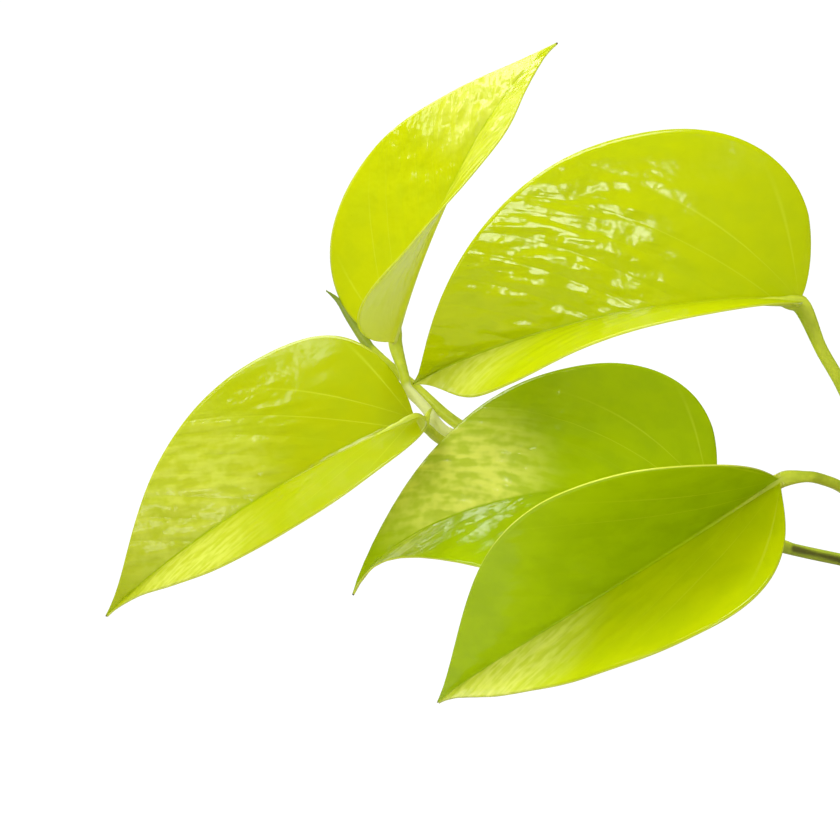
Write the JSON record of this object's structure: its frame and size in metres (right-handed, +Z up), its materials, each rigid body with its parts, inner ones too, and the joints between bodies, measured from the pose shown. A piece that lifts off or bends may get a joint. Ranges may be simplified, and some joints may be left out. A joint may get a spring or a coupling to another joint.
{
  "type": "potted neon pothos",
  "caption": "Neon pothos in a round clay pot: heart-shaped chartreuse leaves on arching stems, with a long shoot reaching out to one side.",
  "frame": {"origin": "middle of the pot's underside, on the surface that it stands on", "axes": "+Z up; -X towards the side that the long shoot reaches out to; -Y towards the viewer of the picture"},
  "size_m": [0.4572, 0.3243, 0.2674],
  "materials": {
    "leaf": "gloss",
    "stem": "satin",
    "clay": "matte",
    "soil": "matte"
  },
  "bodies": {
    "root": {"pot": "clay", "soil": "soil", "long_shoot_stem": "stem", "long_shoot_leaf_1": "leaf", "long_shoot_leaf_2": "leaf", "long_shoot_leaf_3": "leaf", "long_shoot_leaf_4": "leaf", "long_shoot_leaf_5": "leaf", "crown_stem": "stem", "crown_leaf_1": "leaf", "crown_leaf_2": "leaf", "crown_leaf_3": "leaf", "crown_leaf_4": "leaf", "crown_leaf_5": "leaf", "crown_leaf_6": "leaf", "crown_leaf_7": "leaf", "vine_1_stem": "stem", "vine_1_leaf_1": "leaf", "vine_1_leaf_2": "leaf", "vine_1_leaf_3": "leaf", "vine_1_leaf_4": "leaf", "vine_1_leaf_5": "leaf", "vine_2_stem": "stem", "vine_2_leaf_1": "leaf", "vine_2_leaf_2": "leaf", "vine_2_leaf_3": "leaf", "vine_2_leaf_4": "leaf", "vine_2_leaf_5": "leaf", "vine_3_stem": "stem", "vine_3_leaf_1": "leaf", "vine_3_leaf_2": "leaf", "vine_3_leaf_3": "leaf", "vine_3_leaf_4": "leaf", "vine_3_leaf_5": "leaf", "vine_4_stem": "stem", "vine_4_leaf_1": "leaf", "vine_4_leaf_2": "leaf", "vine_4_leaf_3": "leaf", "vine_4_leaf_4": "leaf", "vine_4_leaf_5": "leaf", "vine_5_stem": "stem", "vine_5_leaf_1": "leaf", "vine_5_leaf_2": "leaf", "vine_5_leaf_3": "leaf", "vine_5_leaf_4": "leaf", "vine_5_leaf_5": "leaf", "vine_6_stem": "stem", "vine_6_leaf_1": "leaf", "vine_6_leaf_2": "leaf", "vine_6_leaf_3": "leaf", "vine_6_leaf_4": "leaf", "vine_6_leaf_5": "leaf"}
  },
  "joints": []
}
